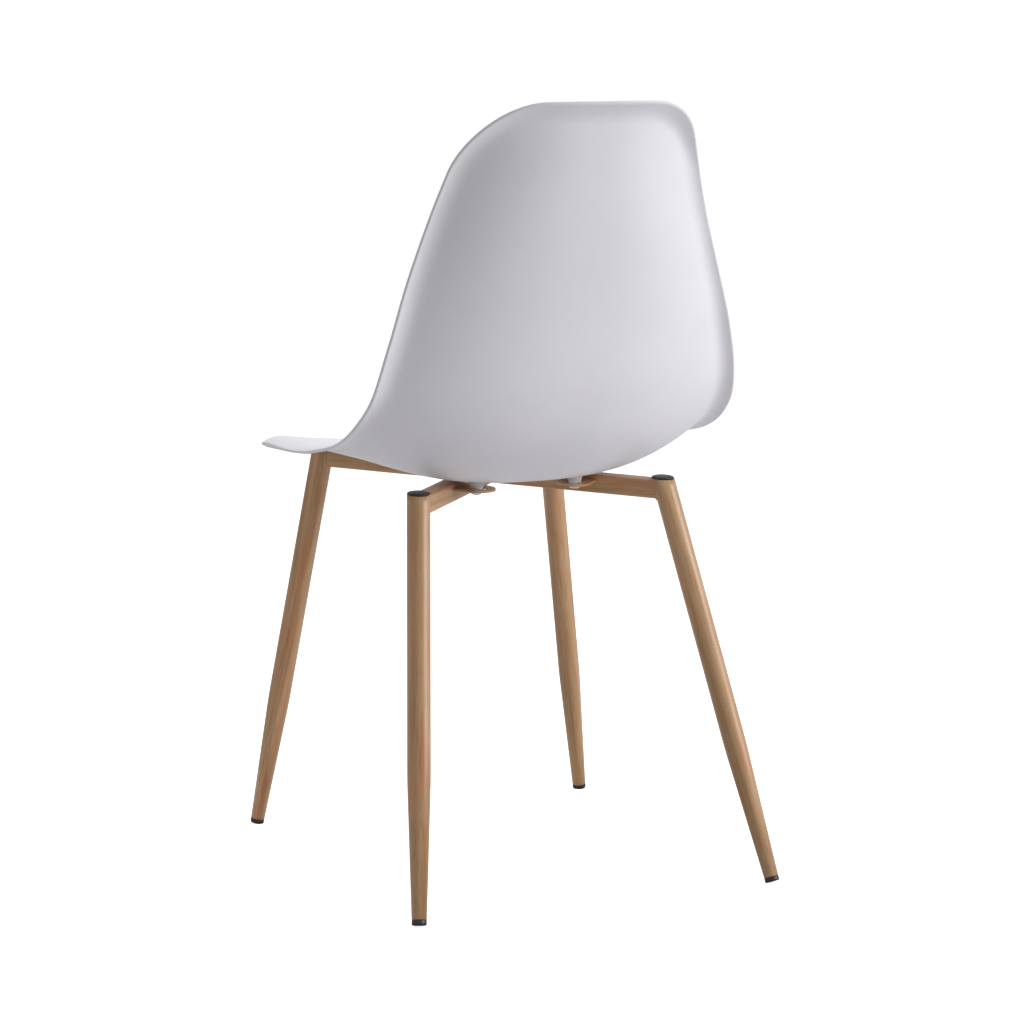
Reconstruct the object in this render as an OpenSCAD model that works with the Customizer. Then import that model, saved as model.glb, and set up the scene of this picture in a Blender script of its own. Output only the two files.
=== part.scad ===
// Dining chair: one moulded plastic bucket shell on a welded steel underframe.
// Millimetres. +Z is up and -Y is the front of the seat. The floor is z = 0, and
// the origin lies under the middle of the chair.

/* [Shell] */
// Widest part of the shell, across the seat
shell_w = 442; // [360:1:540]
// Height of the back above the lowest point of the seat
back_h = 405; // [320:1:480]
// Thickness of the moulded wall
shell_t = 4; // [3:0.5:6]
// Corner radius of the rim at the two front corners
front_corner_r = 75; // [40:1:110]
// Corner radius of the rim at the two top corners
top_corner_r = 74; // [40:1:90]
// How far the rim rolls outward over its last stretch
rim_flare = 18; // [0:0.5:20]
// Width of the rolled stretch inside the rim
rim_flare_w = 28; // [20:1:60]

/* [Underframe] */
// Height of the leg tops above the floor where the two bars cross
frame_h = 430; // [340:1:520]
// Slope of the underframe, up towards the front, in degrees
frame_tilt = 3.3; // [0:0.1:5]
// Place of the bar crossing, front to rear
cross_y = -48; // [-70:1:-30]
// Half width across the rear leg tops
rear_reach = 143; // [120:1:170]
// Half width across the front leg tops
front_reach = 139; // [120:1:170]
// Side of the square cross bars
bar_size = 20; // [16:0.5:25]
// Wall of the square cross bars
bar_wall = 1.5; // [1:0.1:3]
// Outer corner radius of the square cross bars
bar_corner_r = 2; // [0.5:0.5:4]

/* [Legs] */
// Half distance between the left and right feet
foot_x = 205; // [170:1:245]
// Half distance between the front and rear feet
foot_y = 238; // [200:1:285]
// Diameter of a leg above its taper
leg_d = 24.5; // [20:0.5:30]
// Diameter of a leg where it meets its foot
leg_end_d = 15.5; // [13:0.5:20]
// Length of the taper
leg_taper_l = 142; // [80:1:200]
// Wall of the leg tube
leg_wall = 1.2; // [0.8:0.1:2]
// Height of the visible part of a foot
foot_h = 5.5; // [4:0.5:10]
// Diameter of the flange of a leg cap
cap_d = 23.5; // [19:0.5:29]
// Height of the dome of a leg cap above its flange
cap_dome_h = 1.8; // [1:0.1:4]

/* [Shell fixings] */
// Distance of each fixing from the bar crossing, along the bar
fixing_reach = 112; // [80:1:130]
// Distance of each fixing from the side face of the bar
fixing_offset = 20; // [16:0.5:24]
// Outer radius of a mounting tab's rounded end
tab_r = 18; // [14:0.5:22]
// Thickness of a mounting tab
tab_t = 2; // [1.5:0.1:4]
// Depth of a tab's upper face below the top of the bar
tab_drop = 5; // [4:0.5:14]
// Width of the slot in a mounting tab
slot_w = 14; // [14:0.5:16]
// Distance between the centres of the slot's two round ends
slot_travel = 6; // [2:0.5:8]
// Diameter of a shell boss at its lower end
boss_d = 13; // [11:0.1:13.2]
// Diameter of a shell boss where it leaves the shell
boss_root_d = 16.5; // [14:0.5:18]
// Outer diameter of the threaded insert in a boss
insert_d = 8; // [7.5:0.1:9]
// Length of the threaded insert
insert_l = 10; // [6:0.5:12]
// Diameter of a mounting screw
screw_d = 6; // [4:0.5:6]
// Length of a mounting screw under its head
screw_l = 12; // [8:0.5:14]
// Diameter of a screw head
head_d = 11.5; // [9:0.5:13]
// Height of a screw head
head_h = 2.6; // [2:0.1:4]
// Diameter of a flat washer
washer_d = 18; // [16.5:0.5:20]
// Thickness of a flat washer
washer_t = 1.2; // [0.8:0.1:2]
// Diameter of a spring washer
spring_washer_d = 10.5; // [9:0.5:12]
// Thickness of a spring washer
spring_washer_t = 1.4; // [1:0.1:2]

/* [Hidden] */
$fn = 64;

// Clearances and small allowances
weld_gap = 0.2;          // between a coped tube end and the tube it is welded to
plug_clear = 0.2;        // all round a plastic stem inside a tube
bore_clear = 0.1;        // all round a screw in its insert and washers
bar_drop = 1.5;          // bar tops below the leg tops, clear of the caps
foot_flat = 0.8;         // height worn flat at the lowest edge of a foot
eps = 0.01;
big = 1000;

// Stems of the plastic end plugs
cap_flange_t = 1.2;
cap_stem_l = 12;
cap_stem_wall = 1.6;
foot_stem_l = 16;
foot_edge_r = 1.2;

// Weld beads
bead_r = 1.6;
crossing_bead_r = 3;

// Corners of the chair as [side, end]: +1 is +X or the rear
FRONT_LEFT = [1, -1];
FRONT_RIGHT = [-1, -1];
REAR_LEFT = [1, 1];
REAR_RIGHT = [-1, 1];
CORNERS = [FRONT_LEFT, FRONT_RIGHT, REAR_LEFT, REAR_RIGHT];

// Bar heights in the underframe's own plane, whose zero is the leg tops
bar_top = -bar_drop;
bar_mid = bar_top - bar_size / 2;
bar_inner_r = max(bar_corner_r - bar_wall, 0.2);
tab_top = bar_top - tab_drop;
tab_bottom = tab_top - tab_t;
boss_end = tab_bottom;
tab_reach = fixing_offset + slot_travel / 2;
screw_head_top = tab_bottom - washer_t - spring_washer_t;

WHITE = [0.93, 0.93, 0.95];
OAK = [0.74, 0.59, 0.44];
BLACK = [0.08, 0.08, 0.09];
ZINC = [0.78, 0.79, 0.80];
BRASS = [0.78, 0.64, 0.35];

// ---------- Places on the underframe ----------

// World place of a point on the plane of the leg tops
function frame_point(x, w) =
    [x, cross_y + w * cos(frame_tilt), frame_h - w * sin(frame_tilt)];

function reach(corner) = corner[1] > 0 ? rear_reach : front_reach;
function leg_top(corner) = frame_point(corner[0] * reach(corner), corner[1] * reach(corner));
function floor_point(corner) = [corner[0] * foot_x, corner[1] * foot_y, 0];
function leg_dir(corner) =
    let (run = leg_top(corner) - floor_point(corner)) run / norm(run);

// Along the axis from the floor to the middle of the foot's tilted lower face
function foot_rise(corner) =
    let (up = leg_dir(corner)[2])
    (leg_end_d / 2 * sqrt(1 - up * up) - foot_flat) / up;
function leg_length(corner) =
    norm(leg_top(corner) - floor_point(corner)) - foot_rise(corner) - foot_h;

// Places children with z = 0 on the leg tops and the bars along the diagonals
module in_frame() {
    translate([0, cross_y, frame_h]) rotate([-frame_tilt, 0, 0]) children();
}

// Places children with x running out along the bar from the crossing to a corner
module along_bar(corner) {
    in_frame() rotate(atan2(corner[1], corner[0])) children();
}

// Side of the bar that faces the front or rear of the chair: +1 is local +Y
function inward(corner) = corner[0] * corner[1];

// Places children on a fixing's axis, in the plane of the leg tops
module at_fixing(corner) {
    along_bar(corner)
        translate([fixing_reach, inward(corner) * (bar_size / 2 + fixing_offset), 0])
            children();
}

// Places children at a leg's top with z up along its axis
module on_leg(corner) {
    dir = leg_dir(corner);
    translate(leg_top(corner))
        rotate([0, acos(dir[2]), atan2(dir[1], dir[0])]) children();
}

// ---------- Shell surface ----------

half_w = shell_w / 2;

// Stations from the front edge to the top of the back. Each is the middle of the
// seat or back [y, height], its rim [half width, y, height] and how far the rim rolls.
// Heights on the back are shares of back_h, half widths are shares of the widest and
// the last value is a share of rim_flare.
function on_back(share) = back_h * share;
STATIONS = [
    [-247,   0, 0.930, -232,   11, 0.50],
    [-219,   8, 0.965, -212,   24, 0.65],
    [-165,  15, 0.985, -160,   31, 0.60],
    [ -85,  10, 0.995,  -92,   34, 0.70],
    [   0,   3, 1.000,  -26, 43.5, 0.90],
    [  75,   0, 0.995,   40,   59, 1.00],
    [ 136, on_back(0.105), 0.984,  82, on_back(0.190), 1.00],
    [ 168, on_back(0.245), 0.950, 113, on_back(0.262), 1.00],
    [ 182, on_back(0.405), 0.888, 128, on_back(0.403), 1.00],
    [ 192, on_back(0.565), 0.808, 133, on_back(0.556), 1.00],
    [ 203, on_back(0.726), 0.712, 142, on_back(0.718), 1.00],
    [ 214, on_back(0.874), 0.630, 160, on_back(0.868), 1.00],
    [ 228, on_back(1.006), 0.608, 190, on_back(1.002), 0.90]
];

// Shape of a cross section: the edges lift as this power of the half width
section_power = 2.6;

// Smooth curve through the points, t counts the stations
function spline(pts, t) =
    let (
        n = len(pts) - 1,
        i = min(floor(t), n - 1),
        f = t - i,
        b = pts[i],
        c = pts[i + 1],
        a = i == 0 ? 2 * b - c : pts[i - 1],
        d = i == n - 1 ? 2 * c - b : pts[i + 2]
    )
    (2 * b + (c - a) * f + (2 * a - 5 * b + 4 * c - d) * f ^ 2
        + (3 * b - a - 3 * c + d) * f ^ 3) / 2;

// Length along the middle of the shell at each step of t, as [length, t]
STEPS = 120;
T_MAX = len(STATIONS) - 1;
MIDDLE = [for (i = [0 : STEPS]) let (s = spline(STATIONS, i * T_MAX / STEPS)) [s[0], s[1]]];
LENGTHS = [
    for (i = 0, sum = 0; i <= STEPS;
         sum = sum + (i < STEPS ? norm(MIDDLE[i + 1] - MIDDLE[i]) : 0), i = i + 1) sum
];
T_AT = [for (i = [0 : STEPS]) [LENGTHS[i], i * T_MAX / STEPS]];
shell_l = LENGTHS[STEPS];
function t_at(s) = lookup(s, T_AT);

// How far a corner arc of radius r narrows the rim at distance s from the end
function corner_inset(r, s) = s < r ? r - sqrt(r ^ 2 - (r - s) ^ 2) : 0;

// Distance from the rim, measured round a corner of radius r
function rim_distance(r, side, end) =
    side < r && end < r ? r - norm([r - side, r - end]) : min(side, end);

// Unit normal of the middle line, up on the seat and forward on the back
function profile_normal(t) =
    let (
        h = 0.02,
        p = spline(STATIONS, max(t - h, 0)),
        q = spline(STATIONS, min(t + h, T_MAX)),
        d = [q[0] - p[0], q[1] - p[1]] / norm([q[0] - p[0], q[1] - p[1]])
    )
    [-d[1], d[0]];

// Upper face of the shell, from the lowest point of the seat: s along the middle, u
// from -1 to 1 across
function shell_point(s, u) =
    let (
        t = t_at(s),
        q = spline(STATIONS, t),
        w = q[2] * half_w,
        inset = corner_inset(front_corner_r, s) + corner_inset(top_corner_r, shell_l - s),
        x = (w - inset) * u,
        lift = (abs(x) / w) ^ section_power,
        side = w - abs(x),
        edge = min(rim_distance(front_corner_r, side, s),
                   rim_distance(top_corner_r, side, shell_l - s)),
        roll = q[5] * rim_flare * max(1 - edge / rim_flare_w, 0) ^ 2,
        n = profile_normal(t)
    )
    [
        x,
        q[0] + (q[3] - q[0]) * lift - roll * n[0],
        q[1] + (q[4] - q[1]) * lift - roll * n[1]
    ];

// Rows crowd towards the ends, where the corners turn, and columns towards the rim
CORNER_ROWS = 8;
MID_ROWS = 30;
ROWS_S = concat(
    [for (i = [0 : CORNER_ROWS]) front_corner_r * (1 - cos(90 * i / CORNER_ROWS))],
    [for (i = [1 : MID_ROWS - 1])
        front_corner_r + (shell_l - front_corner_r - top_corner_r) * i / MID_ROWS],
    [for (i = [CORNER_ROWS : -1 : 0]) shell_l - top_corner_r * (1 - cos(90 * i / CORNER_ROWS))]
);
HALF_COLS = 17;
COL_TURN = 83;
COLS_U = [for (j = [-HALF_COLS : HALF_COLS]) sin(COL_TURN * j / HALF_COLS) / sin(COL_TURN)];
ROWS = len(ROWS_S);
COLS = len(COLS_U);

// Height of the lower face over a place on the seat, from the lowest point of the seat
function seat_bottom_at(x, y) =
    let (column = [
        for (s = [front_corner_r : 5 : shell_l / 2])
            let (p = shell_point(s, x / (spline(STATIONS, t_at(s))[2] * half_w))) [p[1], p[2]]
    ])
    lookup(y, column) - shell_t;

// Height of the lowest point of the seat. The wall clears the rear bars, which are
// nearest to it at this place, front to rear, and the domes and rims of the front caps.
shell_clear = 1.8;
nearest_y = 44;
cap_clear = 0.9;
over_bars = frame_h + bar_top - (nearest_y - cross_y) * sin(frame_tilt) + shell_clear + shell_t;
CAP_TOP = leg_top([1, -1]);
CAP_PLACES = concat(
    [CAP_TOP + [0, 0, cap_flange_t + cap_dome_h]],
    [for (a = [0 : 45 : 315]) CAP_TOP + [cos(a), sin(a), 0] * cap_d / 2 + [0, 0, cap_flange_t]]
);
over_caps = max([for (p = CAP_PLACES) p[2] + cap_clear - seat_bottom_at(p[0], p[1])]);
seat_z = max(over_bars, over_caps);

UPPER = [for (s = ROWS_S) [for (u = COLS_U) shell_point(s, u) + [0, 0, seat_z]]];

// Unit normal of the upper face at a grid point, from its neighbours
function grid_normal(g, i, j) =
    let (
        along = g[min(i + 1, ROWS - 1)][j] - g[max(i - 1, 0)][j],
        across = g[i][min(j + 1, COLS - 1)] - g[i][max(j - 1, 0)],
        n = cross(across, along)
    )
    n / norm(n);
LOWER = [
    for (i = [0 : ROWS - 1]) [
        for (j = [0 : COLS - 1]) UPPER[i][j] - shell_t * grid_normal(UPPER, i, j)
    ]
];

function flatten(rows) = [for (row = rows) each row];

// Two triangles for a grid cell, split the mirrored way on the left half
function cell(a, b, c, d, left) = left ? [[a, b, c], [a, c, d]] : [[a, b, d], [b, c, d]];

function index(layer, i, j) = (layer * ROWS + i) * COLS + j;
function face_cells(layer) = [
    for (i = [0 : ROWS - 2]) for (j = [0 : COLS - 2])
        let (
            a = index(layer, i, j),
            b = index(layer, i + 1, j),
            c = index(layer, i + 1, j + 1),
            d = index(layer, i, j + 1),
            left = j >= HALF_COLS
        )
        each layer == 0 ? cell(a, b, c, d, left)
                        : [for (t = cell(a, b, c, d, left)) [t[2], t[1], t[0]]]
];

// The rim as one loop of grid places, and the narrow edge face along it
RIM = concat(
    [for (j = [0 : COLS - 2]) [0, j]],
    [for (i = [0 : ROWS - 2]) [i, COLS - 1]],
    [for (j = [COLS - 1 : -1 : 1]) [ROWS - 1, j]],
    [for (i = [ROWS - 1 : -1 : 1]) [i, 0]]
);
RIM_CELLS = [
    for (k = [0 : len(RIM) - 1])
        let (
            p = RIM[k],
            q = RIM[(k + 1) % len(RIM)],
            a = index(0, p[0], p[1]),
            b = index(0, q[0], q[1]),
            c = index(1, q[0], q[1]),
            d = index(1, p[0], p[1])
        )
        each [[a, b, c], [a, c, d]]
];

// ---------- Outlines ----------

module rounded_square(size, r) {
    square([size, size - 2 * r], center = true);
    square([size - 2 * r, size], center = true);
    for (x = [-1, 1], y = [-1, 1])
        translate([x, y] * (size / 2 - r)) circle(r);
}

module slot_outline(w, travel) {
    square([w, travel], center = true);
    for (y = [-1, 1]) translate([0, y * travel / 2]) circle(d = w);
}

// ---------- Shell and fixings ----------

// World place of a fixing's axis on the plane of the leg tops
function fixing_point(corner) =
    let (
        out = fixing_reach / sqrt(2),
        turn = (bar_size / 2 + fixing_offset) / sqrt(2),
        x = corner[0] * (out - turn),
        w = corner[1] * (out + turn)
    )
    frame_point(x, w);

// Length of a boss above the plane of the leg tops, up into the shell's wall
function boss_rise(corner) =
    let (p = fixing_point(corner))
    seat_z + seat_bottom_at(p[0], p[1]) - p[2] + shell_t / 2;

module boss(corner) {
    base = boss_end;
    top = boss_rise(corner);
    translate([0, 0, base])
        cylinder(h = top - base, d1 = boss_d, d2 = boss_root_d);
}

module boss_bore() {
    translate([0, 0, boss_end - eps]) cylinder(h = insert_l + eps, d = insert_d);
}

module seat_shell() {
    color(WHITE) difference() {
        union() {
            polyhedron(
                points = concat(flatten(UPPER), flatten(LOWER)),
                faces = concat(face_cells(0), face_cells(1), RIM_CELLS),
                convexity = 6
            );
            for (corner = CORNERS) at_fixing(corner) boss(corner);
        }
        for (corner = CORNERS) at_fixing(corner) boss_bore();
    }
}

module ring(h, outer_d, inner_d) {
    difference() {
        cylinder(h = h, d = outer_d);
        translate([0, 0, -eps]) cylinder(h = h + 2 * eps, d = inner_d);
    }
}

module threaded_inserts() {
    color(BRASS) for (corner = CORNERS) at_fixing(corner)
        translate([0, 0, boss_end])
            ring(insert_l, insert_d, screw_d + 2 * bore_clear);
}

module flat_washers() {
    color(ZINC) for (corner = CORNERS) at_fixing(corner)
        translate([0, 0, tab_bottom - washer_t])
            ring(washer_t, washer_d, screw_d + 2 * bore_clear);
}

module spring_washers() {
    color(ZINC) for (corner = CORNERS) at_fixing(corner)
        translate([0, 0, screw_head_top])
            ring(spring_washer_t, spring_washer_d, screw_d + 2 * bore_clear);
}

// Button head screw with a hexagon socket
module mounting_screw() {
    socket_across = screw_d * 0.8;
    translate([0, 0, screw_head_top]) {
        cylinder(h = screw_l, d = screw_d);
        difference() {
            translate([0, 0, -head_h]) cylinder(h = head_h, d1 = head_d * 0.62, d2 = head_d);
            translate([0, 0, -head_h - eps])
                cylinder(h = head_h * 0.6, d = socket_across, $fn = 6);
        }
    }
}

module mounting_screws() {
    color(ZINC) for (corner = CORNERS) at_fixing(corner) mounting_screw();
}

// ---------- Underframe ----------

// Square tube along x, from one place to another, in the plane of the leg tops
module square_tube(from, to) {
    translate([from, 0, bar_mid]) rotate([90, 0, 90]) difference() {
        linear_extrude(to - from) rounded_square(bar_size, bar_corner_r);
        translate([0, 0, -eps]) linear_extrude(to - from + 2 * eps)
            rounded_square(bar_size - 2 * bar_wall, bar_inner_r);
    }
}

// Solid body of a leg's outside, grown by a gap, to cope a bar end against it
module leg_body(corner, gap) {
    on_leg(corner) translate([0, 0, -leg_taper_l])
        cylinder(h = 2 * leg_taper_l, d = leg_d + 2 * gap);
}

function bar_end(corner) = reach(corner) * sqrt(2);

module long_cross_bar() {
    color(OAK) difference() {
        along_bar(REAR_RIGHT) square_tube(-bar_end(FRONT_LEFT), bar_end(REAR_RIGHT));
        leg_body(REAR_RIGHT, weld_gap);
        leg_body(FRONT_LEFT, weld_gap);
    }
}

// Shorter bar, from the side of the long bar to one leg
module half_bar(corner) {
    color(OAK) difference() {
        along_bar(corner) square_tube(bar_size / 2 + weld_gap, bar_end(corner));
        leg_body(corner, weld_gap);
    }
}

module half_bar_rear() { half_bar(REAR_LEFT); }
module half_bar_front() { half_bar(FRONT_RIGHT); }

// How far a leg runs outward along its bar for each unit that it drops
function bar_dir(corner) = (frame_point(corner[0], corner[1]) - frame_point(0, 0)) / sqrt(2);
function lean(corner) =
    let (up = [0, sin(frame_tilt), cos(frame_tilt)])
    -(leg_dir(corner) * bar_dir(corner)) / (leg_dir(corner) * up);

// Bead along both sides and the underside of a coped bar end
module leg_weld(corner) {
    side = bar_size / 2;
    end = bar_end(corner);
    low = bar_top - bar_size - bead_r;
    difference() {
        intersection() {
            leg_body(corner, bead_r);
            along_bar(corner) rotate([90, 0, 0])
                linear_extrude(bar_size + 2 * bead_r, center = true)
                    polygon([
                        [end / 2, bar_top],
                        [end / 2, low],
                        [end - lean(corner) * low, low],
                        [end - lean(corner) * bar_top, bar_top]
                    ]);
        }
        leg_body(corner, 0);
        along_bar(corner) translate([0, -side, bar_mid - side])
            cube([2 * end, bar_size, 2 * bar_size]);
    }
}

module leg_welds() {
    color(OAK) for (corner = CORNERS) leg_weld(corner);
}

// Upright beads in the four corners where the half bars meet the long bar
module crossing_welds() {
    side = bar_size / 2;
    color(OAK) for (x = [-1, 1], y = [-1, 1])
        along_bar(REAR_RIGHT) translate([x * side, y * (side + weld_gap), bar_mid])
            linear_extrude(bar_size - 2 * bar_corner_r, center = true)
                polygon([[0, 0], [x * crossing_bead_r, 0], [0, y * crossing_bead_r]]);
}

// Flat tab with a round end and a slot, welded to the side of its bar
module tab(corner) {
    turn = inward(corner);
    color(OAK) along_bar(corner)
        translate([fixing_reach, turn * bar_size / 2, tab_bottom])
            linear_extrude(tab_t) difference() {
                union() {
                    translate([-tab_r, turn > 0 ? 0 : -tab_reach])
                        square([2 * tab_r, tab_reach]);
                    translate([0, turn * tab_reach]) circle(tab_r);
                }
                translate([0, turn * tab_reach]) slot_outline(slot_w, slot_travel);
            }
}

module tab_front_left() { tab(FRONT_LEFT); }
module tab_front_right() { tab(FRONT_RIGHT); }
module tab_rear_left() { tab(REAR_LEFT); }
module tab_rear_right() { tab(REAR_RIGHT); }

// ---------- Legs, caps and feet ----------

// Everything over a height in the plane of the leg tops, to cut leg tops flush
module above(height) {
    in_frame() translate([-big / 2, -big / 2, height]) cube(big);
}

module leg(corner) {
    l = leg_length(corner);
    top_r = leg_d / 2;
    end_r = leg_end_d / 2;
    color(OAK) difference() {
        on_leg(corner) rotate_extrude() polygon([
            [end_r - leg_wall, -l],
            [end_r, -l],
            [top_r, -l + leg_taper_l],
            [top_r, top_r],
            [top_r - leg_wall, top_r],
            [top_r - leg_wall, -l + leg_taper_l]
        ]);
        above(0);
    }
}

// Hollow stem along the leg's own axis, up into the flange of the cap
module cap_stem(corner) {
    stem_r = leg_d / 2 - leg_wall - plug_clear;
    difference() {
        on_leg(corner) translate([0, 0, -cap_stem_l])
            ring(cap_stem_l + leg_d / 2, 2 * stem_r, 2 * (stem_r - cap_stem_wall));
        above(cap_flange_t / 2);
    }
}

// Domed push-in cap, flat on the cut end of its leg. The dome is an arc from the
// flange's edge to its middle
module leg_cap(corner) {
    r = cap_d / 2;
    dome_steps = 6;
    color(BLACK) {
        cap_stem(corner);
        translate(leg_top(corner)) rotate([-frame_tilt, 0, 0]) rotate_extrude()
            polygon(concat(
                [[0, 0], [r, 0]],
                [for (i = [0 : dome_steps]) let (a = 90 * i / dome_steps)
                    [r * cos(a), cap_flange_t + cap_dome_h * sin(a)]]
            ));
    }
}

// Plastic foot: a stem in the tapered tube and a rounded end, worn flat on the floor
module foot(corner) {
    r = leg_end_d / 2;
    slope = (leg_d - leg_end_d) / 2 / leg_taper_l;
    stem_r = r - leg_wall - plug_clear;
    edge_steps = 4;
    color(BLACK) difference() {
        on_leg(corner) translate([0, 0, -leg_length(corner)]) rotate(180) rotate_extrude()
            polygon(concat(
                [[0, foot_stem_l], [0, -foot_h]],
                [for (i = [0 : edge_steps]) let (a = -90 + 90 * i / edge_steps)
                    [r - foot_edge_r + foot_edge_r * cos(a),
                     -foot_h + foot_edge_r + foot_edge_r * sin(a)]],
                [[r, 0], [stem_r, 0], [stem_r + slope * foot_stem_l, foot_stem_l]]
            ));
        translate([-big, -big, -big]) cube([2 * big, 2 * big, big]);
    }
}

module leg_front_left() { leg(FRONT_LEFT); }
module leg_front_right() { leg(FRONT_RIGHT); }
module leg_rear_left() { leg(REAR_LEFT); }
module leg_rear_right() { leg(REAR_RIGHT); }
module leg_cap_front_left() { leg_cap(FRONT_LEFT); }
module leg_cap_front_right() { leg_cap(FRONT_RIGHT); }
module leg_cap_rear_left() { leg_cap(REAR_LEFT); }
module leg_cap_rear_right() { leg_cap(REAR_RIGHT); }
module foot_front_left() { foot(FRONT_LEFT); }
module foot_front_right() { foot(FRONT_RIGHT); }
module foot_rear_left() { foot(REAR_LEFT); }
module foot_rear_right() { foot(REAR_RIGHT); }

seat_shell();
threaded_inserts();
mounting_screws();
flat_washers();
spring_washers();
long_cross_bar();
half_bar_rear();
half_bar_front();
leg_welds();
crossing_welds();
tab_front_left();
tab_front_right();
tab_rear_left();
tab_rear_right();
leg_front_left();
leg_front_right();
leg_rear_left();
leg_rear_right();
leg_cap_front_left();
leg_cap_front_right();
leg_cap_rear_left();
leg_cap_rear_right();
foot_front_left();
foot_front_right();
foot_rear_left();
foot_rear_right();
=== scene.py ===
"""Dining chair: moulded white shell on a welded wood-effect steel underframe.

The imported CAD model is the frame. The shell, legs, caps and fixings are rebuilt as
detailed pieces in its place, and the rest of the CAD pieces get their materials here.
"""

import math

import bmesh
import bpy
import numpy as np
from mathutils import Matrix, Vector


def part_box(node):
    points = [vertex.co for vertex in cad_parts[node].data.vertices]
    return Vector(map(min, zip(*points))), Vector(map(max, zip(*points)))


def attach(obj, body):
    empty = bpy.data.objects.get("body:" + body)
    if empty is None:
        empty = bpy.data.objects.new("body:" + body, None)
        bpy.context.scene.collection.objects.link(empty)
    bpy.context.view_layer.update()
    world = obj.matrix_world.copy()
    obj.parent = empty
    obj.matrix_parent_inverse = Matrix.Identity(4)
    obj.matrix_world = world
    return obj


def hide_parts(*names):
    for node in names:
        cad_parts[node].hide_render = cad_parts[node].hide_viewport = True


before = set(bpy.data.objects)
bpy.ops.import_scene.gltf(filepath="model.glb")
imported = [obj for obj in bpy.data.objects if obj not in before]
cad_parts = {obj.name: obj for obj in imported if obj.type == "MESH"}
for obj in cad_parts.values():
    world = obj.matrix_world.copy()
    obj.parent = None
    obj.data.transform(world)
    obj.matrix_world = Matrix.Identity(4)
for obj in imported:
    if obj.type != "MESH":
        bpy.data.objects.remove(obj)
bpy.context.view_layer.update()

BODY = "root"
MM = 0.001
CORNERS = ("front_left", "front_right", "rear_left", "rear_right")


# ---------- Camera, lights and floor ----------

def add_camera():
    """Behind the chair and a little to its left, close to level, with a long lens."""
    azimuth, elevation = math.radians(155.44), math.radians(8.85)
    distance = 3.594
    target = Vector((-0.0052, 0.0024, 0.3772))
    back = Vector((
        math.sin(azimuth) * math.cos(elevation),
        -math.cos(azimuth) * math.cos(elevation),
        math.sin(elevation),
    ))
    data = bpy.data.cameras.new("camera")
    data.sensor_width = 36.0
    data.lens = 116.04
    data.shift_x = 0.001
    data.shift_y = 0.003
    camera = bpy.data.objects.new("camera", data)
    camera.location = target + back * distance
    camera.rotation_euler = back.to_track_quat("Z", "Y").to_euler()
    bpy.context.scene.collection.objects.link(camera)
    bpy.context.scene.camera = camera


def add_area_light(name, azimuth, elevation, distance, size, watts, colour=(1, 1, 1)):
    """A square softbox that faces the middle of the chair."""
    a, e = math.radians(azimuth), math.radians(elevation)
    out = Vector((math.sin(a) * math.cos(e), -math.cos(a) * math.cos(e), math.sin(e)))
    data = bpy.data.lights.new(name, "AREA")
    data.size = size
    data.energy = watts
    data.color = colour
    light = bpy.data.objects.new(name, data)
    light.location = Vector((0, 0, 0.45)) + out * distance
    light.rotation_euler = out.to_track_quat("Z", "Y").to_euler()
    bpy.context.scene.collection.objects.link(light)


def add_world(light_strength, gloss_strength, seen_strength):
    """Even white surroundings, brighter in reflections and to the camera than as a light."""
    world = bpy.data.worlds.new("studio")
    bpy.context.scene.world = world
    world.use_nodes = True
    nodes, links = world.node_tree.nodes, world.node_tree.links
    nodes.clear()
    path = nodes.new("ShaderNodeLightPath")
    shade = None
    for strength, tint, ray in ((light_strength, 0.985, None),
                                (gloss_strength, 1.0, "Is Glossy Ray"),
                                (seen_strength, 1.0, "Is Camera Ray")):
        white = nodes.new("ShaderNodeBackground")
        white.inputs["Strength"].default_value = strength
        white.inputs["Color"].default_value = (tint, tint, 1.0, 1)
        if ray is None:
            shade = white.outputs[0]
            continue
        mix = nodes.new("ShaderNodeMixShader")
        links.new(path.outputs[ray], mix.inputs["Fac"])
        links.new(shade, mix.inputs[1])
        links.new(white.outputs[0], mix.inputs[2])
        shade = mix.outputs[0]
    out = nodes.new("ShaderNodeOutputWorld")
    links.new(shade, out.inputs["Surface"])


def add_floor():
    """A pale disc, wide enough to reach the horizon, that glows a little to the camera."""
    radius, segments = 40.0, 96
    ring = [
        (radius * math.cos(2 * math.pi * k / segments),
         radius * math.sin(2 * math.pi * k / segments), 0.0)
        for k in range(segments)
    ]
    mesh = bpy.data.meshes.new("floor")
    mesh.from_pydata(ring, [], [list(range(segments))])
    floor = bpy.data.objects.new("floor", mesh)
    bpy.context.scene.collection.objects.link(floor)
    material = bpy.data.materials.new("floor")
    material.use_nodes = True
    nodes, links = material.node_tree.nodes, material.node_tree.links
    nodes.clear()
    out = nodes.new("ShaderNodeOutputMaterial")
    add = nodes.new("ShaderNodeAddShader")
    mix = nodes.new("ShaderNodeMixShader")
    matt = nodes.new("ShaderNodeBsdfDiffuse")
    matt.inputs["Color"].default_value = (0.72, 0.72, 0.73, 1)
    glow = nodes.new("ShaderNodeEmission")
    glow.inputs["Strength"].default_value = 0.85
    path = nodes.new("ShaderNodeLightPath")
    links.new(matt.outputs[0], add.inputs[0])
    links.new(glow.outputs[0], add.inputs[1])
    links.new(path.outputs["Is Camera Ray"], mix.inputs["Fac"])
    links.new(matt.outputs[0], mix.inputs[1])
    links.new(add.outputs[0], mix.inputs[2])
    links.new(mix.outputs[0], out.inputs["Surface"])
    mesh.materials.append(material)


add_camera()
add_world(light_strength=0.29, gloss_strength=0.8, seen_strength=1.1)
add_area_light("key", azimuth=231, elevation=21, distance=3.2, size=1.8, watts=63)
add_area_light("front_top", azimuth=12, elevation=64, distance=3.0, size=2.0, watts=58)
add_floor()
bpy.context.scene.view_settings.view_transform = "Standard"


# ---------- Materials ----------

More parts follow.
